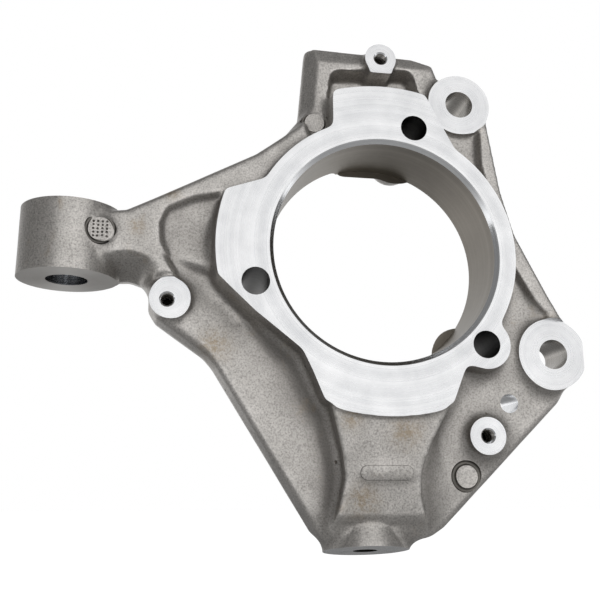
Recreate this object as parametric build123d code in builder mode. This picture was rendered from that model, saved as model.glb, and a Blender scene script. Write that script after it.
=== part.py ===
import os
from math import cos, radians, sin, tan

from build123d import *

# Frame: the origin is the centre of the hub bore in the machined hub face.
# The hub axis lies along Y, the hub face looks along -Y, and Z is up.
# A "depth" is a distance behind the hub face. Outlines are (x, z) points.

# Longer than the part reaches from the hub, for cuts that run off its edge
reach = 150.0

# Hub seat
bore_d = 100.0
bore_chamfer = 1.8
bore_chamfer_angle = 45.0
flange_r = 59.4
flange_depth = 26.0
barrel_r = 58.0
barrel_depth = 34.0
barrel_short_x = -16.0
bolt_count = 3
bolt_circle_d = 120.0
bolt_hole_d = 12.2
first_bolt_angle = 76.4
bolt_lobe_r = 10.8
bolt_pad_r = 10.8
bolt_pad_depth = 45.5

# Hub face: radii of its round stretches, and its corners as (radius, angle) or (x, z)
top_lobe_r = 78.0
top_lobe_from = 107.5
top_lobe_to = 75.1
right_arc_from = 56.0
right_arc_to = -33.0
bolt_lobe_end = (40.4, -51.7)
bolt_lobe_side = (34.0, -50.2)
bottom_lobe_r = 72.3
bottom_lobe_from = -67.8
bottom_lobe_to = -112.8
left_sides = [(-33, -54.8), (-37.5, -45.6), (-57.7, -29.6)]
left_lobe_r = 75.0
left_lobe_from = 191.2
left_lobe_to = 161.5
upper_left_r = 61.4
upper_left_from = 151.0
upper_left_to = 112.4
lobe_corner_r = 3.0
core_draft = 5.0

# Web: the plate that joins everything, widest at its parting line
web_depth = 12.0
parting_depth = 22.0
web_back_depth = 30.0
draft = 9.0
back_draft = 5.0
web_corner_r = 3.0
web_edge_r = 3.0
block_side_bevel_width = 4.2
block_side_bevel_fall = 8.0
block_side_low = 67.0
block_side_right = -30.0
block_top_bevel_low = 95.6
block_top_bevel_width = 8.6
block_top_bevel_fall = 3.6
block_outline = [(-43.8, 55.9), (-35.2, 67), (-32.0, 103.4), (19, 101.6), (28.4, 98.4), (31, 91), (38, 84)]
right_outline = [(53.8, 72), (57, 53), (60, 33), (65.6, 12), (79.6, -17), (88, -33), (90, -50), (81, -64.4)]
foot_outline = [(25.4, -118), (20, -121.4), (8, -123.4), (-25, -123.4), (-29.7, -119.4)]
limb_outline = [(-73, -50.8), (-77.2, -46), (-98.4, -31.2), (-101, -27), (-101, -20)]
arm_under_outline = [(-104, -15.4), (-108, -12.6), (-113, -11.6), (-130, -13)]
arm_top_outline = [(-130, 14), (-113.2, 15.6), (-100.6, 21.9), (-57.3, 45.1)]

# Rib along the right edge of the web, from one calliper boss to the other
rib_depth = 10.0
rib_root_depth = 16.0
rib_draft = 20.0
rib_inner = [(48.4, 72), (48.4, 46), (54, 20), (60, -1), (63.6, -7), (70.9, -19.6), (78, -28), (84, -34)]
rib_outer = [(85, -31), (76.8, -16), (63, 12), (57.4, 33), (54.4, 53), (52.2, 68)]

# Pan: the front of the lower left limb falls away from its outer edge to the hub
pan_start = (-73.0, -50.8)
pan_end = (-29.7, -119.4)
pan_slope = 13.0
pan_inner_x = -8.0

# Column: the thick rib from the hub face down to the ball joint
column_step = 0.6
column_lean = 5.5
column_back_depth = 26.0
column_top = -66.5
column_left = [(-25.6, -67), (-20.4, -88), (-19.2, -98), (-21, -107), (-25, -122)]
column_right = [(16.5, -122), (12.9, -104), (13.5, -94.5), (17.2, -85), (25.2, -69.5)]
toe_top = -113.6
toe_depth = 4.6
toe_rise = 12.0
toe_run = 9.0
toe_width = 70.0

# Pad on the column
pad_centre = (-1.8, -96.0)
pad_length = 23.0
pad_height = 6.2
pad_rise = 0.5

# Top block: a rim round a deep pocket
block_pocket = [(-20, 56), (-24.2, 74), (-21.8, 91.4), (17.8, 94.6), (20.4, 84), (26, 76), (20, 56)]
block_pocket_depth = 19.0
block_pocket_draft = 5.0
block_pocket_r = 4.5
block_back_depth = 40.0
block_back_low = 48.6
block_back_left = -32.5
block_back_right = 27.0
block_back_high = 96.0

# Steering arm and its eye
arm_depth = 8.5
arm_back_depth = 37.0
arm_draft = 4.0
arm_outline = [
    (-130, 13.5), (-113.2, 15.4), (-100.6, 21.9), (-57.3, 45.1), (-45, 54.5), (-35, 63), (-31, 52),
    (-41, 35), (-53, 10), (-56, -8), (-73, -10.4), (-96, -4), (-91, -13), (-103, -14.5), (-112, -11.6),
    (-130, -13),
]
arm_pocket = [
    (-96.3, 17.2), (-84, 23.2), (-64, 27.2), (-60, -16), (-76, -16), (-90.5, -12.5), (-96, -3.5), (-98.4, 1),
    (-99, 10),
]
arm_pocket_depth = 3.6
arm_pocket_draft = 30.0
cove = [
    (-124, -6.6), (-115.2, -3.9), (-108.8, -3.9), (-102.6, -6.0), (-99.2, -11), (-99.6, -30), (-124, -30),
]
cove_depth = 17.0
cove_draft = 24.0
cove_r = 4.0
eye_centre = (-138.2, 24.3)
eye_d = 42.8
eye_hole_d = 18.0
eye_low = -13.6
eye_high = 17.4

# Calliper bosses
caliper_depth = 9.0
caliper_back_depth = 31.0
caliper_hole_d = 13.4
caliper_upper = (39.7, 76.7)
caliper_upper_d = 30.4
caliper_lower = (78.3, -43.3)
caliper_lower_d = 31.8
caliper_lower_flat_x = 92.9

# Small tapped bosses for brackets
tap_d = 5.0
tap_mouth_d = 6.4
tap_mouth_angle = 90.0
tap_depth = 15.0
left_boss = (-93.2, -23.3)
left_tap = (-94.3, -23.9)
left_boss_d = 17.8
left_boss_depth = 10.0
right_boss = (44.1, -80.2)
right_boss_d = 16.4
right_boss_depth = 5.5
top_boss = (1.4, 97.2)
top_boss_d = 15.2
top_boss_depth = 8.0
top_boss_skirt_w = 11.0
top_boss_skirt_low = 89.6

# Plain hole in the right web
web_hole = (57.2, -65.5)
web_hole_d = 8.4

# Round ejector marks
ejector_marks = [(-29.8, 63.2, 4.4), (36.1, -97.2, 4.6)]
ejector_rise = 0.7
ejector_groove_w = 1.0
ejector_groove_depth = 0.5
arm_mark = (-122.7, 4.5)
arm_mark_d = 11.6
arm_mark_depth = 6.4

# Ball joint seat, leaning with the steering axis
ball_centre = (-7.7, 20.0, -127.8)
ball_d = 36.4
ball_lean = 9.6
ball_height = 9.0
ball_draft = 12.0
ball_hole_d = 10.4
ball_hole_depth = 30.0


def facing(depth):
    """Plane that looks towards the wheel, a depth behind the hub face."""
    return Plane.XZ.offset(-depth)


def outline(points, corner_r):
    """Face bounded by straight sides, with its corners rounded."""
    with BuildSketch() as shape:
        with BuildLine():
            Polyline(*points, close=True)
        make_face()
        if corner_r:
            fillet(shape.vertices(), corner_r)
    return shape.sketch


def forged(points, depth, back_depth, angle):
    """Plate drafted both ways from the parting line, with its outline given at its front."""
    with BuildPart() as plate:
        with BuildSketch(facing(parting_depth)):
            add(outline(points, 0))
            offset(amount=(parting_depth - depth) * tan(radians(angle)), kind=Kind.INTERSECTION)
        extrude(amount=parting_depth - depth, taper=angle)
        with BuildSketch(facing(parting_depth)):
            add(outline(points, 0))
            offset(amount=(parting_depth - depth) * tan(radians(angle)), kind=Kind.INTERSECTION)
        extrude(amount=parting_depth - back_depth, taper=back_draft)
    return plate.part


def is_block_side(edge):
    """Upright left edge of the top block."""
    middle = edge.center()
    return middle.X < block_side_right and middle.Z > block_side_low


def is_not_block_side(edge):
    return not is_block_side(edge)


def polar(radius, angle):
    return (radius * cos(radians(angle)), radius * sin(radians(angle)))


def hub_arc(radius, start, end):
    """Arc about the hub axis from one angle to another."""
    return CenterArc((0, 0), radius, start, end - start)


bolt_lobe_tip = polar(bolt_circle_d / 2 + bolt_lobe_r, first_bolt_angle - 360 / bolt_count)
web_outline = (block_outline + right_outline + foot_outline + limb_outline
               + arm_under_outline + arm_top_outline)

# The pan's plane runs along the limb's outer edge and sinks towards the hub.
edge_dir = Vector(pan_end[0] - pan_start[0], 0, pan_end[1] - pan_start[1]).normalized()
pan_normal = Vector(0, -1, 0).rotate(Axis((0, 0, 0), edge_dir), -pan_slope)
pan_plane = Plane((pan_start[0], web_depth, pan_start[1]), x_dir=edge_dir, z_dir=pan_normal)

column_plane = Plane(
    (0, column_step, -bottom_lobe_r),
    x_dir=(1, 0, 0),
    z_dir=(0, -cos(radians(column_lean)), -sin(radians(column_lean))),
)
ball_plane = Plane(
    ball_centre,
    x_dir=(1, 0, 0),
    z_dir=(0, sin(radians(ball_lean)), cos(radians(ball_lean))),
)

with BuildPart() as pan_cutter:
    with BuildSketch(facing(0)):
        with Locations((pan_inner_x, 0)):
            Rectangle(reach, reach, align=(Align.MAX, Align.MAX))
    extrude(amount=-web_back_depth)
    split(bisect_by=pan_plane, keep=Keep.TOP)

block_back = [
    (block_back_left, block_back_low),
    (block_back_left, block_back_high),
    (block_back_right, block_back_high),
    (block_back_right, block_back_low),
]
column_face = [(x, z + bottom_lobe_r) for x, z in (
    [(column_left[0][0], column_top)] + column_left + column_right + [(column_right[-1][0], column_top)]
)]
block_top_bevel = [
    (0, block_top_bevel_low),
    (web_depth, block_top_bevel_low),
    (web_depth + block_top_bevel_fall, block_top_bevel_low + block_top_bevel_width),
    (0, block_top_bevel_low + block_top_bevel_width),
]
toe = [
    (0, toe_top),
    (toe_depth, toe_top),
    (toe_depth + toe_run, toe_top - toe_rise),
    (0, toe_top - toe_rise),
]

with BuildSketch() as hub_face:
    with BuildLine():
        top = hub_arc(top_lobe_r, top_lobe_from, top_lobe_to)
        right = hub_arc(flange_r, right_arc_from, right_arc_to)
        bottom = hub_arc(bottom_lobe_r, bottom_lobe_from, bottom_lobe_to)
        left = hub_arc(left_lobe_r, left_lobe_from, left_lobe_to)
        upper_left = hub_arc(upper_left_r, upper_left_from, upper_left_to)
        bolt_lobe = ThreePointArc(right @ 1, bolt_lobe_tip, bolt_lobe_end)
        Line(top @ 1, right @ 0)
        Polyline(bolt_lobe @ 1, bolt_lobe_side, bottom @ 0)
        Polyline(bottom @ 1, *left_sides, left @ 0)
        Line(left @ 1, upper_left @ 0)
        Line(upper_left @ 1, top @ 0)
    make_face()
    fillet(hub_face.vertices(), lobe_corner_r)

with BuildPart() as web:
    add(forged(web_outline, web_depth, web_back_depth, draft))
    fillet(web.faces().sort_by(Axis.Y)[-1].edges(), web_edge_r)
    web_front = web.faces().sort_by(Axis.Y)[0]
    block_side = web_front.edges().filter_by(is_block_side)
    chamfer(block_side, block_side_bevel_width, block_side_bevel_fall, reference=web_front)
    web_front = web.faces().sort_by(Axis.Y)[0]
    fillet(web_front.edges().filter_by(is_not_block_side), web_edge_r)
    with BuildSketch(Plane.YZ):
        Polygon(*block_top_bevel, align=None)
    extrude(amount=reach, both=True, mode=Mode.SUBTRACT)
    with BuildSketch(facing(rib_depth)):
        add(outline(rib_inner + rib_outer, 0))
    extrude(amount=rib_depth - rib_root_depth, taper=-rib_draft)

with BuildPart() as core:
    # Column
    with BuildSketch(column_plane):
        add(outline(column_face, 0))
    extrude(amount=column_step - column_back_depth, taper=-core_draft)
    with BuildSketch(Plane.YZ):
        Polygon(*toe, align=None)
    extrude(amount=toe_width / 2, both=True, mode=Mode.SUBTRACT)

    # Hub face with its lobes
    with BuildSketch(facing(0)):
        add(hub_face.sketch)
    extrude(amount=-flange_depth, taper=-core_draft)

with BuildPart() as arm:
    add(forged(arm_outline, arm_depth, arm_back_depth, arm_draft))
    fillet(arm.faces().sort_by(Axis.Y)[0].edges(), web_edge_r)
    with BuildSketch(facing(arm_depth)):
        add(outline(arm_pocket, 0))
    extrude(amount=-arm_pocket_depth, taper=arm_pocket_draft, mode=Mode.SUBTRACT)

with BuildPart() as knuckle:
    # Web
    add(web.part)

    # Pan
    add(pan_cutter.part, mode=Mode.SUBTRACT)

    # Pocket inside the rim of the top block
    with BuildSketch(facing(web_depth)):
        add(outline(block_pocket, block_pocket_r))
    extrude(amount=-block_pocket_depth, taper=block_pocket_draft, mode=Mode.SUBTRACT)

    # Hub face and column
    add(core.part)

    # Back of the top block, with its flat underside above the bore
    with BuildSketch(facing(parting_depth)):
        add(outline(block_back, web_corner_r))
    extrude(amount=parting_depth - block_back_depth, taper=back_draft)

    # Barrel, shorter on the arm's side
    with BuildSketch(facing(web_depth)):
        Circle(barrel_r)
    extrude(amount=web_depth - barrel_depth)
    with BuildSketch(facing(barrel_depth)):
        with Locations((barrel_short_x, block_back_low)):
            Rectangle(reach, reach, align=(Align.MAX, Align.MAX))
    extrude(amount=barrel_depth - web_back_depth, mode=Mode.SUBTRACT)

    # Steering arm and its eye
    add(arm.part)
    with BuildSketch(facing(arm_depth)):
        add(outline(cove, cove_r))
    extrude(amount=-cove_depth, taper=cove_draft, mode=Mode.SUBTRACT)
    with BuildSketch(Plane.XY.offset(eye_low)):
        with Locations(eye_centre):
            Circle(eye_d / 2)
    extrude(amount=eye_high - eye_low)

    # Calliper bosses
    with BuildSketch(facing(caliper_depth)):
        with Locations(caliper_upper):
            Circle(caliper_upper_d / 2)
        with Locations(caliper_lower):
            Circle(caliper_lower_d / 2)
        with Locations((caliper_lower_flat_x, 0)):
            Rectangle(reach, reach, align=(Align.MIN, Align.CENTER), mode=Mode.SUBTRACT)
    extrude(amount=caliper_depth - caliper_back_depth)

    # Spot faces behind the calliper bosses
    with BuildSketch(facing(caliper_back_depth)):
        with Locations(caliper_upper):
            Circle(caliper_upper_d / 2)
        with Locations(caliper_lower):
            Circle(caliper_lower_d / 2)
    extrude(amount=caliper_back_depth - bolt_pad_depth, mode=Mode.SUBTRACT)

    # Small bosses
    for centre, diameter, depth in (
        (left_boss, left_boss_d, left_boss_depth),
        (right_boss, right_boss_d, right_boss_depth),
        (top_boss, top_boss_d, top_boss_depth),
    ):
        with BuildSketch(facing(depth)):
            with Locations(centre):
                Circle(diameter / 2)
        extrude(amount=depth - parting_depth)
    with BuildSketch(facing(top_boss_depth)):
        with Locations((top_boss[0], top_boss_skirt_low)):
            Rectangle(top_boss_skirt_w, top_boss[1] - top_boss_skirt_low, align=(Align.CENTER, Align.MIN))
    extrude(amount=top_boss_depth - parting_depth)

    # Ball joint seat
    with BuildSketch(ball_plane):
        Circle(ball_d / 2)
    extrude(amount=ball_height, taper=ball_draft)

    # Pads behind the bearing bolts
    with BuildSketch(facing(flange_depth)):
        with PolarLocations(bolt_circle_d / 2, bolt_count, start_angle=first_bolt_angle):
            Circle(bolt_pad_r)
    extrude(amount=flange_depth - bolt_pad_depth)

    # Ejector marks and the pad on the column
    for x, z, radius in ejector_marks:
        with BuildSketch(facing(web_depth)):
            with Locations((x, z)):
                Circle(radius + ejector_groove_w)
        extrude(amount=-ejector_groove_depth, mode=Mode.SUBTRACT)
        with BuildSketch(facing(web_depth - ejector_rise)):
            with Locations((x, z)):
                Circle(radius)
        extrude(amount=web_depth - parting_depth)
    with BuildSketch(facing(arm_mark_depth)):
        with Locations(arm_mark):
            Circle(arm_mark_d / 2)
    extrude(amount=arm_mark_depth - parting_depth)
    with BuildSketch(column_plane):
        with Locations((pad_centre[0], pad_centre[1] + bottom_lobe_r)):
            SlotOverall(pad_length, pad_height)
    extrude(amount=pad_rise, both=True)

    # Machined bore with its chamfer
    with BuildSketch(facing(0)):
        Circle(bore_d / 2)
    extrude(amount=-barrel_depth, mode=Mode.SUBTRACT)
    with BuildSketch(facing(0)):
        Circle(bore_d / 2 + bore_chamfer)
    extrude(amount=-bore_chamfer, taper=bore_chamfer_angle, mode=Mode.SUBTRACT)

    # Bearing bolts
    with BuildSketch(facing(0)):
        with PolarLocations(bolt_circle_d / 2, bolt_count, start_angle=first_bolt_angle):
            Circle(bolt_hole_d / 2)
    extrude(amount=-bolt_pad_depth, mode=Mode.SUBTRACT)

    # Calliper holes and the plain web hole
    with BuildSketch(facing(0)):
        with Locations(caliper_upper, caliper_lower):
            Circle(caliper_hole_d / 2)
        with Locations(web_hole):
            Circle(web_hole_d / 2)
    extrude(amount=-block_back_depth, mode=Mode.SUBTRACT)

    # Tapped holes
    for centre, depth in (
        (left_tap, left_boss_depth),
        (right_boss, right_boss_depth),
        (top_boss, top_boss_depth),
    ):
        with Locations(Plane(facing(depth).from_local_coords(centre), x_dir=(1, 0, 0), z_dir=(0, -1, 0))):
            CounterSinkHole(tap_d / 2, tap_mouth_d / 2, tap_depth, tap_mouth_angle)

    # Eye hole and ball joint hole
    with Locations((*eye_centre, eye_high)):
        Hole(eye_hole_d / 2)
    with Locations(-ball_plane):
        Hole(ball_hole_d / 2, ball_hole_depth)

knuckle.part.label = "knuckle"
os.makedirs("parts", exist_ok=True)
export_step(knuckle.part, "parts/knuckle.step")
print("volume", round(knuckle.part.volume), "solids", len(knuckle.solids()))
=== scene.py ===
# %% [markdown]
# # A forged steering knuckle
# The knuckle is one aluminium forging. It is pressed hot between two dies, blasted with shot, and then a
# milling machine faces and bores only the places where other parts bolt on. This lesson works in that order:
# it takes the solid from the CAD model, adds the metal that the machine will remove, lets the shape flow as
# hot metal does, and cuts the machined faces and holes at the end, so that their edges stay crisp.

# %% Load the CAD model
import math

import bmesh
import bpy
import numpy as np
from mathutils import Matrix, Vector, noise


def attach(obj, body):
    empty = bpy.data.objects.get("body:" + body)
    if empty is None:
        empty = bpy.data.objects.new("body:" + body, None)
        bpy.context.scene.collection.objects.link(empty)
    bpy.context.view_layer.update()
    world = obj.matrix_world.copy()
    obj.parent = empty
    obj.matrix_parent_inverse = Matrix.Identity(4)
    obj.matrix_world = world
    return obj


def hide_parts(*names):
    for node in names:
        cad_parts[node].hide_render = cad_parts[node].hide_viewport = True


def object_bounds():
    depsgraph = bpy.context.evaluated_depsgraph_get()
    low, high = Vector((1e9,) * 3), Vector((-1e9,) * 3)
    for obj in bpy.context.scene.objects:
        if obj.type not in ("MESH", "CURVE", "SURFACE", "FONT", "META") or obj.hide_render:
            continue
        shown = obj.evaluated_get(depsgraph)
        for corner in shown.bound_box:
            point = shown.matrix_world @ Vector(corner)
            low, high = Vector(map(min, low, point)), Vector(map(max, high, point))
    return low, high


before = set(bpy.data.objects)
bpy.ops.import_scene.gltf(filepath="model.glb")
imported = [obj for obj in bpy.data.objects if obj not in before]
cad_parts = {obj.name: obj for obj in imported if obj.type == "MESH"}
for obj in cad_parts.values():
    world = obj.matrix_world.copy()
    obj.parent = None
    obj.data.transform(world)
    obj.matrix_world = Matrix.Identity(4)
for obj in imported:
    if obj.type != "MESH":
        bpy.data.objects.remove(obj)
cad_low, cad_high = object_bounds()
scene = bpy.context.scene
print("CAD box", [round(v, 4) for v in cad_low], [round(v, 4) for v in cad_high])

# %% [markdown]
# ## Sizes of the machined places
# Each machined place is a plane or a hole. Their sizes repeat those of the CAD model, in metres, because
# the cutters have to land exactly on its faces. A small table is easier to check than numbers that are
# scattered through the code.

# %% Machined faces and holes
BORE_R = 0.050
BORE_CHAMFER = 0.0018
BARREL_BACK = 0.034
BARREL_BACK_SHORT = 0.030
BARREL_SHORT_X = -0.016
BOLT_CIRCLE_R = 0.060
BOLT_R = 0.0061
BOLT_BACK = 0.0455
BOLT_ANGLES = [math.radians(76.4 + 120 * k) for k in range(3)]
CALLIPERS = {"upper": (0.0397, 0.0767, 0.0152), "lower": (0.0783, -0.0433, 0.0159)}
CALLIPER_R = 0.0067
CALLIPER_FRONT = 0.009
CALLIPER_BACK = 0.031
# Small bosses: centre x, depth, centre z, radius, and how far the facing cutter reaches past the radius
BOSSES = {
    "left": (-0.0932, 0.010, -0.0233, 0.0089, 0.0006),
    "right": (0.0441, 0.0055, -0.0802, 0.0082, 0.0020),
    "top": (0.0014, 0.008, 0.0972, 0.0076, 0.0030),
}
# The left hole was drilled a little off the middle of its boss.
TAPPED = {"left": (-0.0943, 0.010, -0.0239), "right": BOSSES["right"][:3], "top": BOSSES["top"][:3]}
TAP_R = 0.0025
TAP_MOUTH_R = 0.0034
TAP_DEPTH = 0.015
THREAD_PITCH = 0.001
WEB_HOLE = (0.0572, -0.0655)
WEB_HOLE_R = 0.0042
WEB_FRONT = 0.012
WEB_BACK = 0.030
EYE = (-0.1382, 0.0243)
EYE_R = 0.009
EYE_LOW = -0.0136
EYE_HIGH = 0.0174
BALL = Vector((-0.0077, 0.020, -0.1278))
BALL_LEAN = math.radians(9.6)
BALL_OUT = Vector((0, -math.sin(BALL_LEAN), -math.cos(BALL_LEAN)))
BALL_R = 0.0052
BALL_DEPTH = 0.030
FRONT = Vector((0, -1, 0))
UP = Vector((0, 0, 1))
print("machined holes:", 1 + len(BOLT_ANGLES) + len(CALLIPERS) + len(TAPPED) + 3)

# %% [markdown]
# ## The raw forging
# A forging leaves the dies with some metal to spare on every face that will be machined, called stock. We
# copy the CAD mesh, merge its loose triangles, pick each machined face by its plane and extrude it by the
# stock. The extrude is what a hand modeller would do, and it keeps the outline of each face exactly.

# %% Copy the solid and add the stock
STOCK = 0.003
SAME_PLANE = 3e-5


def only(piece):
    """Select one object and nothing else."""
    bpy.ops.object.select_all(action="DESELECT")
    piece.select_set(True)
    bpy.context.view_layer.objects.active = piece


def select_plane(piece, point, normal):
    """Select the faces of a piece in edit mode that lie in a plane and look the same way."""
    bpy.ops.mesh.select_all(action="DESELECT")
    shape = bmesh.from_edit_mesh(piece.data)
    count = 0
    for face in shape.faces:
        offset = (face.calc_center_median() - point).dot(normal)
        if abs(offset) < SAME_PLANE and face.normal.dot(normal) > 0.999:
            face.select_set(True)
            count += 1
    bmesh.update_edit_mesh(piece.data)
    return count


forging = bpy.data.objects.new("forging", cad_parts["knuckle"].data.copy())
scene.collection.objects.link(forging)
only(forging)
bpy.ops.object.mode_set(mode="EDIT")
bpy.ops.mesh.select_mode(type="FACE")
bpy.ops.mesh.select_all(action="SELECT")
bpy.ops.mesh.remove_doubles(threshold=1e-6)
MACHINED_PLANES = [
    (Vector((0, 0, 0)), FRONT),
    (Vector((0, CALLIPER_FRONT, 0)), FRONT),
    (Vector((0, CALLIPER_BACK, 0)), -FRONT),
    (Vector((0, TAPPED["left"][1], 0)), FRONT),
    (Vector((0, TAPPED["right"][1], 0)), FRONT),
    (Vector((0, TAPPED["top"][1], 0)), FRONT),
    (Vector((0, 0, EYE_LOW)), -UP),
    (Vector((0, 0, EYE_HIGH)), UP),
    (BALL, BALL_OUT),
]
for point, normal in MACHINED_PLANES:
    picked = select_plane(forging, point, normal)
    bpy.ops.mesh.extrude_region_move(TRANSFORM_OT_translate={"value": normal * STOCK})
    print("stock on", picked, "faces along", [round(v, 2) for v in normal])
bpy.ops.object.mode_set(mode="OBJECT")

# %% [markdown]
# ## Solid metal where the holes will be
# No forging comes with its holes: they are bored later. We close every hole with a plug that is a little
# wider than it. The plugs overlap the forging, which is fine, because the next step fuses all of it. The
# barrel behind the hub is shorter on its left, so the bore needs a short plug and a longer half.

# %% Plug the holes
# Plugs end this far below a face that gets no stock
INSIDE = 0.00005
# How much wider than its hole each plug is
PLUG_SPARE = {"bore": 0.003, "bolt": 0.0015, "calliper": 0.002, "tap": 0.0012, "web": 0.0015, "eye": 0.002,
              "ball": 0.002}
# How much longer than its blind hole each plug is
TAP_PLUG_END = 0.0015
BALL_PLUG_END = 0.001


def between(add, name, start, end, **sizes):
    """Add a primitive whose axis runs from one point to another."""
    start, end = Vector(start), Vector(end)
    along = end - start
    turn = along.to_track_quat("Z", "Y").to_euler()
    add(depth=along.length, location=(start + end) / 2, rotation=turn, **sizes)
    made = bpy.context.active_object
    made.name = name
    bpy.ops.object.transform_apply(location=True, rotation=True, scale=True)
    return made


def rod(name, start, end, radius, sides=96):
    """Add a cylinder from one point to another."""
    return between(bpy.ops.mesh.primitive_cylinder_add, name, start, end, vertices=sides, radius=radius)


def bolt_place(angle):
    return BOLT_CIRCLE_R * math.cos(angle), BOLT_CIRCLE_R * math.sin(angle)


plug_r = BORE_R + PLUG_SPARE["bore"]
plugs = [rod("plug", (0, -STOCK, 0), (0, BARREL_BACK_SHORT - INSIDE, 0), plug_r, 128)]
half = rod("plug", (0, WEB_FRONT, 0), (0, BARREL_BACK - INSIDE, 0), plug_r, 128)
bpy.ops.object.mode_set(mode="EDIT")
bpy.ops.mesh.select_all(action="SELECT")
bpy.ops.mesh.bisect(
    plane_co=(BARREL_SHORT_X, 0, 0), plane_no=(1, 0, 0), use_fill=True, clear_inner=True)
bpy.ops.object.mode_set(mode="OBJECT")
plugs.append(half)
for angle in BOLT_ANGLES:
    x, z = bolt_place(angle)
    plugs.append(rod("plug", (x, -STOCK, z), (x, BOLT_BACK - INSIDE, z), BOLT_R + PLUG_SPARE["bolt"]))
for x, z, _ in CALLIPERS.values():
    plugs.append(rod("plug", (x, CALLIPER_FRONT - STOCK, z), (x, CALLIPER_BACK + STOCK, z),
                     CALLIPER_R + PLUG_SPARE["calliper"]))
for x, y, z in TAPPED.values():
    plugs.append(rod("plug", (x, y - STOCK, z), (x, y + TAP_DEPTH + TAP_PLUG_END, z),
                     TAP_MOUTH_R + PLUG_SPARE["tap"]))
x, z = WEB_HOLE
plugs.append(rod("plug", (x, WEB_FRONT + INSIDE, z), (x, WEB_BACK - INSIDE, z),
                 WEB_HOLE_R + PLUG_SPARE["web"]))
plugs.append(rod("plug", (*EYE, EYE_LOW - STOCK), (*EYE, EYE_HIGH + STOCK), EYE_R + PLUG_SPARE["eye"]))
plugs.append(rod("plug", BALL + BALL_OUT * STOCK, BALL - BALL_OUT * (BALL_DEPTH + BALL_PLUG_END),
                 BALL_R + PLUG_SPARE["ball"]))
bpy.ops.object.select_all(action="DESELECT")
for plug in plugs:
    plug.select_set(True)
forging.select_set(True)
bpy.context.view_layer.objects.active = forging
bpy.ops.object.join()
print("plugs joined:", len(plugs))

# %% [markdown]
# ## One skin
# A voxel remesh fuses the forging and its plugs to a single skin of even small squares. Even squares matter
# here, because the flowing in the next step moves each point by its neighbours.

# %% Fuse with a voxel remesh
VOXEL = 0.00075


def apply_modifiers(piece):
    only(piece)
    for modifier in list(piece.modifiers):
        bpy.ops.object.modifier_apply(modifier=modifier.name)


fuse = forging.modifiers.new("fuse", "REMESH")
fuse.mode = "VOXEL"
fuse.voxel_size = VOXEL
apply_modifiers(forging)
print("skin of", len(forging.data.polygons), "squares")

# %% [markdown]
# ## Let the metal flow
# Hot metal can't fill a sharp inside corner of a die, so every valley of a forging has a wide round, while
# its outer edges are only slightly rounded. A bevel can't follow so many corners that run into each other,
# so both rounds come from moving each point by the mean of its neighbours. That takes a few helpers that
# work on all points at once, which is many times quicker than a loop over them.

# %% Helpers that work on all points at once
def neighbour_table(mesh):
    """Rows of neighbouring points, padded with the point itself, and how many are real."""
    count = len(mesh.vertices)
    pairs = np.empty(len(mesh.edges) * 2, np.int64)
    mesh.edges.foreach_get("vertices", pairs)
    pairs = pairs.reshape(-1, 2)
    ends = np.concatenate([pairs, pairs[:, ::-1]])
    ends = ends[np.argsort(ends[:, 0], kind="stable")]
    degree = np.bincount(ends[:, 0], minlength=count)
    first = np.concatenate([[0], np.cumsum(degree)[:-1]])
    place = np.arange(len(ends)) - first[ends[:, 0]]
    table = np.repeat(np.arange(count)[:, None], degree.max(), axis=1)
    table[ends[:, 0], place] = ends[:, 1]
    return table, degree


def points_of(mesh):
    flat = np.empty(len(mesh.vertices) * 3)
    mesh.vertices.foreach_get("co", flat)
    return flat.reshape(-1, 3)


def normals_of(mesh):
    flat = np.empty(len(mesh.vertices) * 3)
    mesh.vertex_normals.foreach_get("vector", flat)
    return flat.reshape(-1, 3)


def ring_mean(values, rows):
    """Mean of the neighbours of the points in some rows of the table; the padding is taken off again."""
    total = values[table[rows]].sum(axis=1)
    padding = (table.shape[1] - degree[rows]).reshape(-1, *[1] * (values.ndim - 1))
    real = degree[rows].reshape(-1, *[1] * (values.ndim - 1))
    return (total - values[rows] * padding) / real


def set_points(mesh, points):
    mesh.vertices.foreach_set("co", points.astype(np.float32).ravel())
    mesh.update()


table, degree = neighbour_table(forging.data)
points = points_of(forging.data)
everywhere = np.arange(len(points))
print("points:", len(points), "neighbours at most:", degree.max())

# %% [markdown]
# ## Rounded ridges
# The die's edges wear, and the shot blasting rubs the forging's own edges, so they are round by about a
# millimetre. An even smoothing, a few rounds long, gives that all over the skin.

# %% Round the ridges
RIDGE_ROUNDS = 4
RIDGE_SHARE = 0.6
for _ in range(RIDGE_ROUNDS):
    points += RIDGE_SHARE * (ring_mean(points, everywhere) - points)
set_points(forging.data, points)
ridged = points.copy()
print("ridges rounded in", RIDGE_ROUNDS, "rounds")

# %% [markdown]
# ## Filled valleys
# This pass only ever lifts points, so it fills the valleys and leaves the ridges alone. How far each valley
# fills is set by where it is: the wide pan below the hub has rounds of about 14 mm, and the feet of the
# small bosses have almost none. Points that rise in a valley crowd together, so every tenth round also
# slides them apart along the skin.

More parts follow.
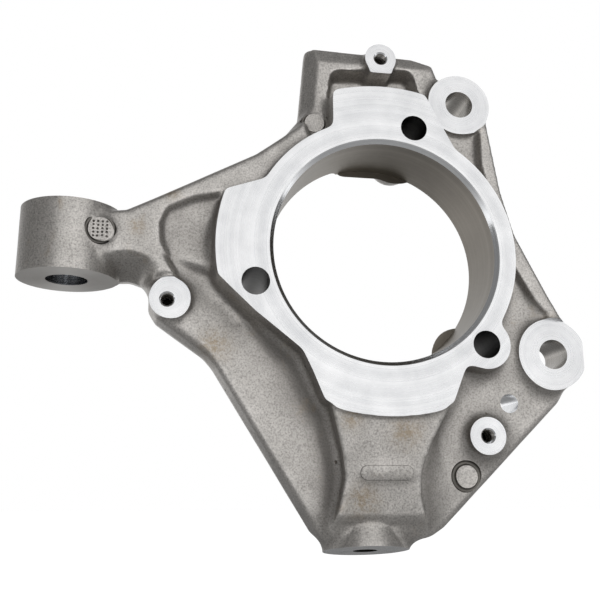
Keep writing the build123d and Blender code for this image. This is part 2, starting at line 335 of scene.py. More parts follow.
# %% Fill the valleys
# Place (x, z), radius of the place, share of the rounds
VALLEYS = {
    "eye and arm": ((-0.118, 0.0), 0.030, 0.05),
    "arm": ((-0.080, 0.020), 0.040, 0.01),
    "cove": ((-0.108, -0.012), 0.014, 0.05),
    "block": ((-0.010, 0.080), 0.036, 0.03),
    "right edge": ((0.072, 0.010), 0.030, 0.025),
    "lower calliper boss": ((0.078, -0.043), 0.026, 0.15),
    "pan": ((-0.043, -0.068), 0.052, 1.0),
    "limb": ((-0.070, -0.014), 0.024, 0.08),
    "column": ((-0.006, -0.100), 0.036, 0.8),
    "right web": ((0.040, -0.074), 0.024, 0.2),
    "left boss": ((-0.0932, -0.0233), 0.012, 0.025),
}
PLACE_FADE = 0.010
SHARE_ELSEWHERE = 0.05
SHARE_BEHIND = 0.015
SHARE_SHALLOW = 0.01
BACK_NORMAL = 0.35
BACK_SPARE = 0.001
# Forward of this depth the share falls to that of the shallow rims, over the fade
SHALLOW_FROM = 0.0105
SHALLOW_FADE = 0.0035
ROUNDS = 900
SLIDE_EVERY = 10
SLIDES = 3
SLIDE_SHARE = 0.5
LIFT_SHARE = 0.8
LEAST_LIFT = 1e-7
LEAST_FILL = 0.00003
reach = np.full(len(points), SHARE_ELSEWHERE)
for (x, z), radius, share in VALLEYS.values():
    away = np.hypot(points[:, 0] - x, points[:, 2] - z)
    near = np.clip((radius - away) / PLACE_FADE + 0.5, 0, 1)
    reach = reach * (1 - near) + share * near
behind = (normals_of(forging.data)[:, 1] > BACK_NORMAL) | (points[:, 1] > WEB_BACK + BACK_SPARE)
reach = np.where(behind, np.minimum(reach, SHARE_BEHIND), reach)
shallow = np.clip((SHALLOW_FROM - points[:, 1]) / SHALLOW_FADE, 0, 1)
reach = reach * (1 - shallow) + np.minimum(reach, SHARE_SHALLOW) * shallow
for turn in range(ROUNDS):
    if turn % SLIDE_EVERY == 0:
        set_points(forging.data, points)
        normals = normals_of(forging.data)
        rows = np.flatnonzero(reach * ROUNDS > turn)
        filled = rows[((points[rows] - ridged[rows]) * normals[rows]).sum(axis=1) > LEAST_FILL]
        for _ in range(SLIDES):
            pull = ring_mean(points, filled) - points[filled]
            pull -= (pull * normals[filled]).sum(axis=1)[:, None] * normals[filled]
            points[filled] += SLIDE_SHARE * pull
    lift = ((ring_mean(points, rows) - points[rows]) * normals[rows]).sum(axis=1)
    lift = np.where(lift > LEAST_LIFT, lift, 0)
    points[rows] += LIFT_SHARE * lift[:, None] * normals[rows]
set_points(forging.data, points)
fill = ((points - ridged) * normals).sum(axis=1)
print("deepest fill", round(float(fill.max()) * 1000, 2), "mm")

# %% [markdown]
# ## Where the skin is hollow and where it is proud
# The hollows of the skin get a darker tint, which is painted shade, while its ridges are rubbed bright in the
# tumbler.
# We measure how far each point lies below or above its neighbours, smooth that, and keep it as two point
# attributes. They travel with the mesh through the cuts, and the skin's material reads them later, which a
# texture that is wrapped round so many corners could not do as evenly.

# %% Keep hollows and ridges as attributes
BEND_ROUNDS = 6
# The bend and the fill that count as fully hollow, and the bend that counts as a full ridge
HOLLOW_BEND = 0.10
HOLLOW_FILL = 0.004
RIDGE_BEND = 0.12
# The arm's shallow pocket, darkened with painted shade: its middle (x, z), where its painted shade ends, over
# what fade, how deep and how strong
POCKET = (-0.078, 0.006)
POCKET_R = 0.026
POCKET_FADE = 0.010
POCKET_DEPTH = 0.0095
POCKET_STEP = 0.002
POCKET_SHADE = 0.30
normals = normals_of(forging.data)
bend = ((ring_mean(points, everywhere) - points) * normals).sum(axis=1) / VOXEL
for _ in range(BEND_ROUNDS):
    bend = ring_mean(bend, everywhere)
# Painted shade: concave and filled places get a darker tint, like the shade that falls in them.
hollow_shade = bend / HOLLOW_BEND + np.clip(fill, 0, None) / HOLLOW_FILL
away = np.hypot(points[:, 0] - POCKET[0], points[:, 2] - POCKET[1])
pocket = np.clip((POCKET_R - away) / POCKET_FADE, 0, 1)
# The deep part of the arm's pocket gets extra painted shade.
hollow_shade += POCKET_SHADE * pocket * np.clip((points[:, 1] - POCKET_DEPTH) / POCKET_STEP, 0, 1)
hollow_shade = np.clip(hollow_shade, 0, 1)
ridge = np.clip(-bend / RIDGE_BEND, 0, 1)
print("mean hollow", round(float(hollow_shade.mean()), 3), "mean ridge", round(float(ridge.mean()), 3))

# %% [markdown]
# ## Stains
# Drops of coolant dried on the skin and left brown marks. Each is a soft round spot, which the skin's
# material breaks up with noise later.

# %% Mark the stains and store the attributes
# Places x and z and radii
STAINS = [
    (-0.0171, -0.0737, 0.004), (0.0066, -0.0791, 0.006), (-0.0119, -0.1073, 0.006),
    (-0.0734, -0.0426, 0.006), (-0.0949, 0.0237, 0.003), (-0.1083, 0.0074, 0.003),
    (-0.0210, -0.1101, 0.0012), (-0.0181, -0.1133, 0.0012), (-0.1435, -0.0059, 0.001),
    (-0.1400, 0.0155, 0.001), (-0.1419, -0.0009, 0.001),
]
stain = np.zeros(len(points))
for x, z, radius in STAINS:
    stain = np.maximum(stain, np.exp(-((points[:, 0] - x) ** 2 + (points[:, 2] - z) ** 2) / radius ** 2))
for name, values in (("hollow_shade", hollow_shade), ("ridge", ridge), ("stain", stain)):
    forging.data.attributes.new(name, "FLOAT", "POINT").data.foreach_set("value", values.astype(np.float32))
print("stains:", len(STAINS))

# %% [markdown]
# ## Not quite flat
# Dies wear, and metal shrinks unevenly, so no face of a forging is truly flat. Each point sinks by up to a
# tenth of a millimetre, following a smooth noise. It only sinks, so that the part stays inside its size.
# Then a Decimate modifier halves the faces, because the flat parts don't need such small squares.

# %% Sink the skin a little
SINK = 0.00012
SINK_SCALE = 70
THIN_SHARE = 0.47
sink = np.array([0.5 + 0.5 * noise.noise(Vector(p) * SINK_SCALE) for p in points])
points -= normals * sink[:, None] * SINK
set_points(forging.data, points)
thin = forging.modifiers.new("thin", "DECIMATE")
thin.ratio = THIN_SHARE
apply_modifiers(forging)
print("after thinning:", len(forging.data.polygons), "faces,",
      "attributes kept:", "hollow_shade" in forging.data.attributes and "ridge" in forging.data.attributes)

# %% [markdown]
# ## Finishes
# Each tool leaves its own finish, so the materials are made before the cutting starts. They share a few
# steps, such as a noise, a ramp and a mix, so these become small helpers. Noise on Object coordinates has its
# true size, because the object is measured in metres.

# %% Small helpers for node trees
def new_material(name):
    material = bpy.data.materials.new(name)
    material.use_nodes = True
    nodes, links = material.node_tree.nodes, material.node_tree.links
    return material, nodes, links, nodes["Principled BSDF"]


def noise_node(nodes, links, vector, scale, detail=2.0, roughness=0.5):
    made = nodes.new("ShaderNodeTexNoise")
    made.inputs["Scale"].default_value = scale
    made.inputs["Detail"].default_value = detail
    made.inputs["Roughness"].default_value = roughness
    links.new(vector, made.inputs["Vector"])
    return made.outputs["Fac"]


def ramp_node(nodes, links, value, stops):
    """Turn a value into a colour; stops are (position, grey or colour)."""
    made = nodes.new("ShaderNodeValToRGB")
    ramp = made.color_ramp
    while len(ramp.elements) < len(stops):
        ramp.elements.new(0.5)
    for element, (position, colour) in zip(ramp.elements, stops):
        element.position = position
        element.color = (*colour, 1) if isinstance(colour, tuple) else (colour, colour, colour, 1)
    links.new(value, made.inputs["Fac"])
    return made.outputs["Color"]


def mix_node(nodes, links, factor, first, second, blend="MIX"):
    """Mix two colours; each is a socket or a colour, and the factor a socket or a number."""
    made = nodes.new("ShaderNodeMix")
    made.data_type = "RGBA"
    made.blend_type = blend
    for socket, value in ((made.inputs[0], factor), (made.inputs[6], first), (made.inputs[7], second)):
        if isinstance(value, bpy.types.NodeSocket):
            links.new(value, socket)
        else:
            socket.default_value = (*value, 1) if isinstance(value, tuple) else value
    return made.outputs[2]


def math_node(nodes, links, operation, first, second=0.0):
    made = nodes.new("ShaderNodeMath")
    made.operation = operation
    for socket, value in zip(made.inputs, (first, second)):
        if isinstance(value, bpy.types.NodeSocket):
            links.new(value, socket)
        else:
            socket.default_value = value
    return made.outputs[0]


def attribute_node(nodes, name):
    made = nodes.new("ShaderNodeAttribute")
    made.attribute_name = name
    return made


def bump_node(nodes, links, height, distance, strength=1.0, below=None):
    made = nodes.new("ShaderNodeBump")
    made.inputs["Distance"].default_value = distance
    made.inputs["Strength"].default_value = strength
    links.new(height, made.inputs["Height"])
    if below:
        links.new(below, made.inputs["Normal"])
    return made.outputs["Normal"]


# %% [markdown]
# ## The blasted skin
# Shot blasting gives the forging a warm grey with a fine grain, brighter on the ridges, with a few pits,
# and brown stains where coolant has dried. The hollows get a darker tint, which is painted shade. One
# material
# mixes all of it: two noises for grain and patches, a Voronoi for the pits, and the attributes for what
# depends on the shape.

# %% The blasted skin
GRAIN_SCALE = 1300
PATCH_SCALE = 110
PORE_SCALE = 95
BLOTCH_SCALE = 42
STAIN_SCALE = 400
SKIN_DARK = (0.425, 0.406, 0.384)
SKIN_LIGHT = (0.52, 0.498, 0.473)
# The hollows' dark tint is painted shade.
HOLLOW_SHADE_TINT = (0.16, 0.148, 0.136)
RIDGE_TINT = (0.78, 0.76, 0.73)
PORE_TINT = (0.13, 0.115, 0.10)
BLOTCH_TINT = (0.34, 0.27, 0.18)
STAIN_TINT = (0.27, 0.20, 0.115)
# How much of each tint is mixed in where it is strongest
HOLLOW_SHADE_MIX = 0.75
RIDGE_MIX = 0.35
BLOTCH_MIX = 0.40
STAIN_MIX = 0.75
skin, nodes, links, shader = new_material("blasted_skin")
coords = nodes.new("ShaderNodeTexCoord").outputs["Object"]
grain = noise_node(nodes, links, coords, GRAIN_SCALE, 3, 0.6)
patches = noise_node(nodes, links, coords, PATCH_SCALE, 4, 0.6)
tint = ramp_node(nodes, links, patches, [(0.30, SKIN_DARK), (0.70, SKIN_LIGHT)])
speckle = ramp_node(nodes, links, grain, [(0.28, 0.52), (0.55, 1.0), (0.78, 1.20)])
tint = mix_node(nodes, links, 1.0, tint, speckle, "MULTIPLY")
# Hollows get painted shade; ridges get their lighter worn tone.
for name, strength, colour in (("hollow_shade", HOLLOW_SHADE_MIX, HOLLOW_SHADE_TINT), ("ridge", RIDGE_MIX, RIDGE_TINT)):
    amount = math_node(nodes, links, "MULTIPLY", attribute_node(nodes, name).outputs["Fac"], strength)
    tint = mix_node(nodes, links, amount, tint, colour)
pores = nodes.new("ShaderNodeTexVoronoi")
pores.inputs["Scale"].default_value = PORE_SCALE
links.new(coords, pores.inputs["Vector"])
pore = ramp_node(nodes, links, pores.outputs["Distance"], [(0.045, 1.0), (0.085, 0.0)])
rare = ramp_node(nodes, links, pores.outputs["Color"], [(0.60, 0.0), (0.62, 1.0)])
pore = mix_node(nodes, links, 1.0, pore, rare, "MULTIPLY")
tint = mix_node(nodes, links, pore, tint, PORE_TINT)
cloudy = noise_node(nodes, links, coords, BLOTCH_SCALE, 5, 0.72)
blotch = ramp_node(nodes, links, cloudy, [(0.60, 0.0), (0.74, 1.0)])
tint = mix_node(nodes, links, math_node(nodes, links, "MULTIPLY", blotch, BLOTCH_MIX), tint, BLOTCH_TINT)
patchy = noise_node(nodes, links, coords, STAIN_SCALE, 3, 0.7)
broken = ramp_node(nodes, links, patchy, [(0.40, 0.25), (0.60, 1.0)])
broken = math_node(nodes, links, "MULTIPLY", attribute_node(nodes, "stain").outputs["Fac"], broken)
tint = mix_node(nodes, links, math_node(nodes, links, "MULTIPLY", broken, STAIN_MIX), tint, STAIN_TINT)
links.new(tint, shader.inputs["Base Color"])
dull = ramp_node(nodes, links, patches, [(0.3, 0.42), (0.7, 0.37)])
links.new(dull, shader.inputs["Roughness"])
shader.inputs["Metallic"].default_value = 0.8
fine = bump_node(nodes, links, grain, 0.00016, 0.45)
coarse = bump_node(nodes, links, patches, 0.0006, 0.25, fine)
pitted = math_node(nodes, links, "SUBTRACT", 1.0, pore)
links.new(bump_node(nodes, links, pitted, 0.0003, 0.8, coarse), shader.inputs["Normal"])
print("skin nodes:", len(nodes))

# %% [markdown]
# ## Tool marks
# A face mill or a lathe tool leaves fine rings round its own axis. Every cutter below stamps an attribute
# called tool_centre on the faces that it leaves: the point that its marks circle round. The material takes
# the distance from that point, so the rings are true circles on each face. For a bored wall the point lies
# far along the axis, which turns the same distance into rings along the bore. Each finish has a dark and a
# light tone, a roughness, the share of the rings, and how far they stretch a highlight.

# %% Finishes of the cut metal
WIDE_RINGS = 260
FINE_RINGS = 1700
CLOUD_SCALE = 60
ROUGHNESS_SWING = 0.06


def cut_metal(name, dark, light, roughness, rings=0.35, stretch=0.5):
    """A metal with fine rings round the tool's centre; dark and light are its two tones."""
    material, nodes, links, shader = new_material(name)
    coords = nodes.new("ShaderNodeTexCoord")
    centre = attribute_node(nodes, "tool_centre")
    arm = nodes.new("ShaderNodeVectorMath")
    arm.operation = "SUBTRACT"
    links.new(coords.outputs["Object"], arm.inputs[0])
    links.new(centre.outputs["Vector"], arm.inputs[1])
    length = nodes.new("ShaderNodeVectorMath")
    length.operation = "LENGTH"
    links.new(arm.outputs[0], length.inputs[0])
    far = length.outputs["Value"]
    tones = []
    for scale in (WIDE_RINGS, FINE_RINGS):
        ring = nodes.new("ShaderNodeTexNoise")
        ring.noise_dimensions = "1D"
        ring.inputs["Scale"].default_value = scale
        ring.inputs["Detail"].default_value = 3
        links.new(far, ring.inputs["W"])
        tones.append(ring.outputs["Fac"])
    cloud = noise_node(nodes, links, coords.outputs["Object"], CLOUD_SCALE, 3, 0.6)
    tone = mix_node(nodes, links, rings, cloud, tones[0])
    tone = mix_node(nodes, links, rings, tone, tones[1])
    links.new(ramp_node(nodes, links, tone, [(0.35, dark), (0.65, light)]), shader.inputs["Base Color"])
    sheen = ramp_node(nodes, links, tones[1],
                      [(0.3, roughness - ROUGHNESS_SWING), (0.7, roughness + ROUGHNESS_SWING)])
    links.new(sheen, shader.inputs["Roughness"])
    around = nodes.new("ShaderNodeVectorMath")
    around.operation = "CROSS_PRODUCT"
    links.new(coords.outputs["Normal"], around.inputs[0])
    links.new(arm.outputs[0], around.inputs[1])
    unit = nodes.new("ShaderNodeVectorMath")
    unit.operation = "NORMALIZE"
    links.new(around.outputs[0], unit.inputs[0])
    links.new(unit.outputs[0], shader.inputs["Tangent"])
    shader.inputs["Metallic"].default_value = 1.0
    shader.inputs["Anisotropic"].default_value = stretch
    links.new(bump_node(nodes, links, tones[1], 0.00004, 0.6), shader.inputs["Normal"])
    return material


FINISHES = {
    "skin": skin,
    "milled": cut_metal("milled_face", (0.50, 0.505, 0.515), (0.70, 0.70, 0.705), 0.30),
    "sawn": cut_metal("sawn_face", (0.34, 0.33, 0.31), (0.46, 0.44, 0.42), 0.42),
    # The bore's wall is painted dark brown-grey, which is painted shade for the inside of the bore.
    "bored": cut_metal("shaded_bored_wall", (0.17, 0.153, 0.13), (0.25, 0.23, 0.20), 0.42, 0.5),
    "reamed": cut_metal("reamed_wall", (0.25, 0.24, 0.22), (0.42, 0.40, 0.38), 0.26, 0.5),
    # The drilled walls are painted nearly black, which is painted shade for the depth of the holes.
    "drilled": cut_metal("shaded_drilled_wall", (0.012, 0.011, 0.010), (0.035, 0.032, 0.028), 0.45, 0.5),
    # Grooves and dimples are painted dark, which is painted shade in them.
    "groove": cut_metal("shaded_groove", (0.10, 0.094, 0.085), (0.18, 0.17, 0.155), 0.50, 0.3, 0.0),
    "bright": cut_metal("bright_edge", (0.66, 0.67, 0.69), (0.86, 0.87, 0.88), 0.16, 0.5, 0.0),
}
forging.data.materials.clear()
forging.data.materials.append(skin)
print("finishes:", ", ".join(FINISHES))

# %% [markdown]
# ## Machine the faces and bore the holes
# Each tool is a closed shape that takes metal away with a Boolean modifier. The Manifold solver is quick on
# dense closed meshes, and with its material mode on Transfer the cut faces take the tool's own finish.
# Tools that don't touch each other are joined and cut together, which saves a pass for each.

# %% Helpers for cutting
def tool(piece, finish, centre):
    """Give a cutter its finish, and keep the point that its marks circle round on its faces' corners."""
    piece.data.materials.clear()
    piece.data.materials.append(FINISHES[finish])
    stamp = piece.data.attributes.new("tool_centre", "FLOAT_VECTOR", "CORNER")
    stamp.data.foreach_set("vector", np.tile(np.array(centre, np.float32), len(piece.data.loops)))
    return piece


def cut(tools, operation="DIFFERENCE"):
    """Join tools that don't touch each other, cut or fuse their shape with the forging and remove them."""
    bpy.ops.object.select_all(action="DESELECT")
    for piece in tools:
        piece.select_set(True)
    bpy.context.view_layer.objects.active = tools[0]
    if len(tools) > 1:
        bpy.ops.object.join()
    modifier = forging.modifiers.new("cut", "BOOLEAN")
    modifier.operation = operation
    modifier.solver = "MANIFOLD"
    modifier.material_mode = "TRANSFER"
    modifier.object = tools[0]
    apply_modifiers(forging)
    bpy.data.objects.remove(tools[0])


def cone(name, start, end, start_r, end_r, sides=96):
    """Add a cone's slice from one point to another."""
    return between(bpy.ops.mesh.primitive_cone_add, name, start, end,
                   vertices=sides, radius1=start_r, radius2=end_r)


def far_along(point, axis):
    """A point one metre back along a hole's axis, which makes rings along its wall."""
    return Vector(point) - Vector(axis) * 1.0


tool(forging, "skin", (0, 0, 0))
print("tool_centre stored:", "tool_centre" in forging.data.attributes)

# %% [markdown]
# ## Faces
# On the real part a big mill faces the hub in one pass, and a spot-facer cuts each boss flat. Here a slab
# takes the stock off the hub, and short cylinders face the bosses. They cut to the CAD model's planes.

# %% Face the hub and the bosses
# How far a tool reaches out in front of the face that it cuts
CLEAR = 0.012
FACER_SPARE = 0.0004
WIDE_FACER_R = 0.024
bpy.ops.mesh.primitive_cube_add(size=1, location=(0, -CLEAR / 2, 0), scale=(0.3, CLEAR, 0.3))
slab = bpy.context.active_object
bpy.ops.object.transform_apply(location=True, rotation=True, scale=True)
cut([tool(slab, "milled", (0, 0, 0))])
facers = []
for x, z, radius in CALLIPERS.values():
    front, back = (x, CALLIPER_FRONT, z), (x, CALLIPER_BACK, z)
    facers.append(
        tool(rod("facer", (x, CALLIPER_FRONT - CLEAR, z), front, radius + FACER_SPARE), "milled", front))
    facers.append(tool(rod("facer", back, (x, CALLIPER_BACK + CLEAR, z), radius), "milled", back))
for x, y, z, radius, spare in BOSSES.values():
    facers.append(tool(rod("facer", (x, y - CLEAR, z), (x, y, z), radius + spare), "milled", (x, y, z)))
low_face, high_face = (*EYE, EYE_LOW), (*EYE, EYE_HIGH)
facers.append(tool(rod("facer", (*EYE, EYE_LOW - CLEAR), low_face, WIDE_FACER_R), "sawn", low_face))
facers.append(tool(rod("facer", high_face, (*EYE, EYE_HIGH + CLEAR), WIDE_FACER_R), "sawn", high_face))
facers.append(tool(rod("facer", BALL, BALL + BALL_OUT * CLEAR, WIDE_FACER_R), "milled", BALL))
cut(facers)
print("faced; faces now", len(forging.data.polygons))

# %% [markdown]
# ## Bore and holes
# The bore is turned to size and its front edge gets a chamfer, which shows as a bright ring. The other
# holes are drilled or reamed. The borer has 256 sides, so that its long edge looks round from close by.

# %% Bore and drill
CHAMFER_LEAD = 0.001
DRILL_END = 0.06


def front_drill(x, z, radius, finish, sides=96):
    """A drill that goes right through the forging from its front."""
    piece = rod("drill", (x, -CLEAR, z), (x, DRILL_END, z), radius, sides)
    return tool(piece, finish, far_along((x, 0, z), -FRONT))


bore_axis = far_along((0, 0, 0), -FRONT)
cut([tool(rod("borer", (0, -CLEAR, 0), (0, BARREL_BACK + INSIDE, 0), BORE_R, 256), "bored", bore_axis)])
chamfer = cone("chamfer", (0, -CHAMFER_LEAD, 0), (0, BORE_CHAMFER, 0),
               BORE_R + BORE_CHAMFER + CHAMFER_LEAD, BORE_R, 256)
cut([tool(chamfer, "bright", bore_axis)])
drills = []
for angle in BOLT_ANGLES:
    drills.append(front_drill(*bolt_place(angle), BOLT_R, "drilled"))
for x, z, _ in CALLIPERS.values():
    drills.append(front_drill(x, z, CALLIPER_R, "reamed"))
drills.append(front_drill(*WEB_HOLE, WEB_HOLE_R, "bright", 48))
drills.append(tool(rod("drill", (*EYE, EYE_LOW - CLEAR), (*EYE, EYE_HIGH + CLEAR), EYE_R), "bright",
                   far_along((*EYE, 0), UP)))
drills.append(tool(rod("drill", BALL + BALL_OUT * CLEAR, BALL - BALL_OUT * BALL_DEPTH, BALL_R, 48), "drilled",
                   far_along(BALL, -BALL_OUT)))
cut(drills)
print("bored; faces now", len(forging.data.polygons))

# %% [markdown]
# ## Tapped holes
# A tap cuts a helical groove. The cutter is a cylinder with many rings, whose points move in and out as the
# thread's phase turns round the axis and climbs along it by one pitch a turn. Each hole then gets a plain
# end below the thread and a countersink at its mouth.

# %% Tap the three bracket holes
TAP_TURNS = 11
RINGS_PER_TURN = 8
TAP_SIDES = 36
THREAD_HEIGHT = 0.0005
TAP_LEAD = 0.0005
SINK_LEAD = 0.001
# The plain end of the hole: where it starts, and its radius beside the tap's
PLAIN_FROM = 0.010
PLAIN_SHARE = 0.96


def tap(x, y, z):
    """A threaded cutter that points into the metal from a face at depth y."""
    length = TAP_TURNS * THREAD_PITCH
    bpy.ops.mesh.primitive_cylinder_add(vertices=TAP_SIDES, radius=TAP_R, depth=length)
    made = bpy.context.active_object
    bpy.ops.object.mode_set(mode="EDIT")
    bpy.ops.mesh.select_all(action="DESELECT")
    shape = bmesh.from_edit_mesh(made.data)
    for edge in shape.edges:
        low, high = sorted(v.co.z for v in edge.verts)
        if high - low > length / 2:
            edge.select_set(True)
    bmesh.update_edit_mesh(made.data)
    bpy.ops.mesh.subdivide(number_cuts=TAP_TURNS * RINGS_PER_TURN - 1)
    bpy.ops.object.mode_set(mode="OBJECT")
    cutter = points_of(made.data)
    angle = np.arctan2(cutter[:, 1], cutter[:, 0])
    phase = (cutter[:, 2] / THREAD_PITCH + angle / (2 * math.pi)) % 1
    crest = 1 - np.abs(2 * phase - 1)
    size = np.hypot(cutter[:, 0], cutter[:, 1])
    grown = 1 + crest * (THREAD_HEIGHT / TAP_R)
    cutter[:, :2] *= np.where(size > TAP_R / 2, grown, 1)[:, None]
    set_points(made.data, cutter)
    made.location = (x, y - TAP_LEAD + length / 2, z)
    made.rotation_euler = (math.radians(90), 0, 0)
    only(made)
    bpy.ops.object.transform_apply(location=True, rotation=True, scale=True)
    return made


taps, drills, sinks = [], [], []
slope = TAP_MOUTH_R - TAP_R
for x, y, z in TAPPED.values():
    axis = far_along((x, y, z), -FRONT)
    taps.append(tool(tap(x, y, z), "reamed", axis))
    end = rod("drill", (x, y + PLAIN_FROM, z), (x, y + TAP_DEPTH, z), TAP_R * PLAIN_SHARE, TAP_SIDES)
    drills.append(tool(end, "drilled", axis))
    mouth = cone("sink", (x, y - SINK_LEAD, z), (x, y + slope, z), TAP_MOUTH_R + SINK_LEAD, TAP_R, 48)
    sinks.append(tool(mouth, "bright", axis))
for tools in (taps, drills, sinks):
    cut(tools)
print("tapped; faces now", len(forging.data.polygons))

# %% [markdown]
# ## Ejector marks
# Pins push the hot forging out of the die. Each leaves a round flat mark with a groove round it, deeper on
# one side where the pin stood askew. A ray finds the skin's depth at each place, a short rod makes the flat
# mark, and a thin torus cuts the groove. They come this late so that they stay as sharp as in the metal.

# %% Press the ejector marks
PIN_SUNK = 0.005
# Rays start this far in front of the hub's face
RAY_FROM = 0.05
# Name, x, z, radius, height above the skin, groove's radius, its lean about x and z in degrees
MARKS = [
    ("block", -0.0302, 0.0628, 0.0045, 0.0006, 0.0011, (12, -14)),
    ("web", 0.0357, -0.0972, 0.0048, 0.0003, 0.0011, (0, 0)),
    ("arm", -0.1234, 0.0049, 0.0050, 0.0002, 0.0009, (8, 10)),
]
bpy.context.view_layer.update()
pins, rings = [], []
for name, x, z, radius, height, groove, lean in MARKS:
    _, place, _, _ = forging.ray_cast(Vector((x, -RAY_FROM, z)), -FRONT)
    face = place + FRONT * height
    pins.append(tool(rod("pin", face - FRONT * PIN_SUNK, face, radius, 64), "skin", (0, 0, 0)))
    bpy.ops.mesh.primitive_torus_add(
        major_segments=64, minor_segments=12, major_radius=radius + groove, minor_radius=groove,
        location=place, rotation=(math.radians(90 + lean[0]), 0, math.radians(lean[1])))
    ring = bpy.context.active_object
    bpy.ops.object.transform_apply(location=True, rotation=True, scale=True)
    rings.append(tool(ring, "groove", place))
    print(name, "mark at depth", round(place.y * 1000, 2), "mm")
arm_face = face
cut(pins, "UNION")
cut(rings)

# %% [markdown]
# ## The blank pad
# A die often has a low raised pad where the maker can put a mark. Here it stays blank. A flat disc is
# stretched to a stadium by moving its two halves apart, laid along the column's skin, bevelled, and fused.

# %% Add the blank pad on the column
PAD_PLACE = (-0.0018, -0.096)
PAD_R = 0.0031
PAD_STRAIGHT = 0.0083
PAD_HALF_HEIGHT = 0.0005
PAD_BEVEL = 0.0004
_, place, normal, _ = forging.ray_cast(Vector((PAD_PLACE[0], -RAY_FROM, PAD_PLACE[1])), -FRONT)
pad = rod("pad", (-PAD_HALF_HEIGHT, 0, 0), (PAD_HALF_HEIGHT, 0, 0), PAD_R, 64)
corners = points_of(pad.data)[:, [2, 0, 1]]
corners[:, 0] += np.where(corners[:, 0] > 0, 1, -1) * PAD_STRAIGHT
set_points(pad.data, corners)
pad.location = place
pad.rotation_euler = (-math.atan2(normal.z, -normal.y), 0, 0)
only(pad)
bpy.ops.object.transform_apply(location=True, rotation=True, scale=True)
soften = pad.modifiers.new("soften", "BEVEL")
soften.width = PAD_BEVEL
soften.segments = 3
apply_modifiers(pad)
cut([tool(pad, "skin", (0, 0, 0))], "UNION")
print("pad at depth", round(place.y * 1000, 2), "mm")

# %% [markdown]
# ## Punched dimples
# The mark on the arm carries rows of small dimples, punched by hand. Small balls cut them. A noise moves each
# one and changes its size a little, because no two punches land alike. Its seed is set, since Blender would
# otherwise take one from the clock, and each run would give other dimples.

# %% Punch the rows of dimples
DIMPLE_ROWS = 5
DIMPLE_COLUMNS = 4
DIMPLE_STEP_X = 0.0019
DIMPLE_STEP_Z = 0.0016
DIMPLE_R = 0.00056
DIMPLE_R_SWING = 0.0001
DIMPLE_STRAY = 0.0003
DIMPLE_OUT = 0.0001
STRAY_SCALE = 900
STRAY_SEED = 11
noise.seed_set(STRAY_SEED)
dimples = []
for row in range(DIMPLE_ROWS):
    for column in range(DIMPLE_COLUMNS):
        across = (column - (DIMPLE_COLUMNS - 1) / 2) * DIMPLE_STEP_X
        above = (row - (DIMPLE_ROWS - 1) / 2) * DIMPLE_STEP_Z
        spot = arm_face + Vector((across, -DIMPLE_OUT, above))
        stray = noise.noise_vector(spot * STRAY_SCALE)
        spot += Vector((stray.x, 0, stray.z)) * DIMPLE_STRAY
        bpy.ops.mesh.primitive_ico_sphere_add(
            subdivisions=2, radius=DIMPLE_R + DIMPLE_R_SWING * stray.y, location=spot)
        dimple = bpy.context.active_object
        bpy.ops.object.transform_apply(location=True, rotation=True, scale=True)
        dimples.append(tool(dimple, "groove", spot))
cut(dimples)
print("dimples:", len(dimples))

# %% [markdown]
# ## Shading
# The skin is smooth and the cut faces are flat, and they meet in crisp edges. Smooth shading across such an
# edge would smear the skin's light over the cut face, so each edge between two finishes is marked sharp
# first. Shading by angle does the rest.

# %% Shade the finished forging and hand it over
SMOOTH_ANGLE = math.radians(35)
shape = bmesh.new()
shape.from_mesh(forging.data)
for edge in shape.edges:
    finishes = {face.material_index for face in edge.link_faces}
    edge.smooth = len(finishes) == 1
shape.to_mesh(forging.data)
shape.free()
only(forging)
bpy.ops.object.shade_smooth_by_angle(angle=SMOOTH_ANGLE, keep_sharp_edges=True)
triangles = sum(len(face.vertices) - 2 for face in forging.data.polygons)
print("forging:", len(forging.data.polygons), "faces,", triangles, "triangles,",
      "finishes", [m.name for m in forging.data.materials])
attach(forging, "root")
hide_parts("knuckle")

# %% [markdown]
# ## Floor
# The knuckle hangs over a pale floor, which keeps its shadow. Further out the floor glows for the camera, so
# that it runs into the white backdrop without a line, and it shows white in polished metal too. Rays that
# only carry light don't see that glow, so the undersides stay dark, as in a real studio.

# %% Floor
FLOOR_SIZE = 8
FLOOR_DROP = 0.06


def set_range(made, **ends):
    """Set the ends of a Map Range node; from_low, from_high, to_low and to_high."""
    names = {"from_low": "From Min", "from_high": "From Max", "to_low": "To Min", "to_high": "To Max"}
    for key, value in ends.items():
        made.inputs[names[key]].default_value = value


bpy.ops.mesh.primitive_plane_add(size=FLOOR_SIZE, location=(0, 0, cad_low.z - FLOOR_DROP))
floor = bpy.context.active_object
floor.name = "floor"
pale, nodes, links, shader = new_material("pale_floor")
shader.inputs["Base Color"].default_value = (0.84, 0.84, 0.84, 1)
shader.inputs["Roughness"].default_value = 0.9
shader.inputs["Emission Color"].default_value = (1, 1, 1, 1)


def seen_rays(nodes, links):
    """Two sockets that are 1 for rays from the camera, and for rays from shiny surfaces or through glass."""
    rays = nodes.new("ShaderNodeLightPath")
    mirrored = math_node(
        nodes, links, "MAXIMUM", rays.outputs["Is Glossy Ray"], rays.outputs["Is Transmission Ray"])
    return rays.outputs["Is Camera Ray"], mirrored


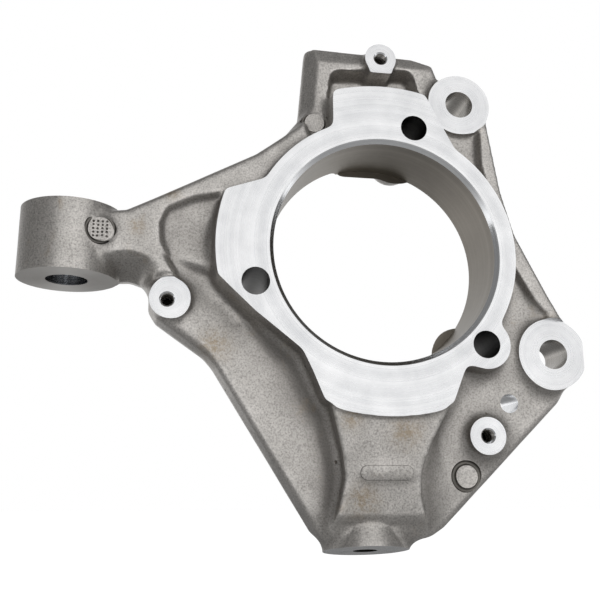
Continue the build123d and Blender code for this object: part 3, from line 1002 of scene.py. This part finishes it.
camera_ray, mirrored_ray = seen_rays(nodes, links)
distance = nodes.new("ShaderNodeVectorMath")
distance.operation = "LENGTH"
links.new(nodes.new("ShaderNodeTexCoord").outputs["Object"], distance.inputs[0])
lit = nodes.new("ShaderNodeMapRange")
set_range(lit, from_low=0.12, from_high=0.34, to_low=0.22, to_high=0.85)
links.new(distance.outputs["Value"], lit.inputs["Value"])
far_floor = nodes.new("ShaderNodeMapRange")
set_range(far_floor, from_low=0.35, from_high=1.2)
links.new(distance.outputs["Value"], far_floor.inputs["Value"])
near_part = math_node(nodes, links, "MULTIPLY", lit.outputs["Result"], camera_ray)
far_part = math_node(nodes, links, "MULTIPLY", far_floor.outputs["Result"], mirrored_ray)
links.new(math_node(nodes, links, "ADD", near_part, far_part), shader.inputs["Emission Strength"])
floor.data.materials.append(pale)
print("floor at", round(floor.location.z, 4), "m")

# %% [markdown]
# ## World
# The backdrop is white: what the camera sees past the knuckle is white all round, and shiny metal shows that
# white behind the knuckle too. On the photographer's side the room is dimmer, apart from the soft lights.

# %% World
world = bpy.data.worlds.new("studio")
scene.world = world
world.use_nodes = True
nodes, links = world.node_tree.nodes, world.node_tree.links
background = nodes["Background"]
background.inputs["Color"].default_value = (1, 1, 1, 1)
camera_ray, mirrored_ray = seen_rays(nodes, links)
split = nodes.new("ShaderNodeSeparateXYZ")
links.new(nodes.new("ShaderNodeTexCoord").outputs["Generated"], split.inputs[0])
rear = nodes.new("ShaderNodeMapRange")
set_range(rear, from_low=0.35, from_high=0.95)
links.new(split.outputs["Y"], rear.inputs["Value"])
backdrop = math_node(nodes, links, "MULTIPLY", rear.outputs["Result"], mirrored_ray)
white = math_node(nodes, links, "MAXIMUM", camera_ray, backdrop)
level = nodes.new("ShaderNodeMapRange")
set_range(level, to_low=0.23, to_high=1.0)
links.new(white, level.inputs["Value"])
links.new(level.outputs["Result"], background.inputs["Strength"])
print("world nodes:", len(nodes))

# %% [markdown]
# ## Soft lights
# Two wide soft lights stand on the photographer's side, a little to the right. The large one is level with
# the knuckle and fills the faces that look forward. The narrow one hangs higher and lights what looks up.

# %% Soft lights
LIGHT_DISTANCE = 1.4


def soft_light(name, toward, size, radiance):
    """A square of light that looks at the knuckle, with a set brightness of its surface."""
    toward = Vector(toward).normalized()
    data = bpy.data.lights.new(name, "AREA")
    data.shape = "RECTANGLE"
    data.size, data.size_y = size
    data.energy = radiance * math.pi * size[0] * size[1]
    made = bpy.data.objects.new(name, data)
    made.location = toward * LIGHT_DISTANCE
    made.rotation_euler = (-toward).to_track_quat("-Z", "Y").to_euler()
    scene.collection.objects.link(made)
    print(name, "at", [round(v, 2) for v in made.location], "power", round(data.energy, 2), "W")


soft_light("front_softbox", (0.20, -0.96, 0.14), (1.9, 1.6), 1.20)
soft_light("top_softbox", (0.15, -0.66, 0.73), (1.9, 0.5), 0.55)

# %% [markdown]
# ## Camera
# The photographer stood close, low and a little to the left, and looked up at the knuckle. Lens and place
# come from fitting a camera to the round holes and flat faces, whose true shape is known.

# %% Camera
camera_data = bpy.data.cameras.new("camera")
camera_data.lens = 48
camera_data.sensor_width = 36
camera = bpy.data.objects.new("camera", camera_data)
camera.location = (-0.08983, -0.32512, -0.10465)
camera.rotation_euler = (math.radians(90 + 13.66), 0, math.radians(-8.94))
scene.collection.objects.link(camera)
scene.camera = camera
scene.view_settings.view_transform = "Standard"
print("camera at", [round(v, 3) for v in camera.location], "lens", camera_data.lens, "mm")
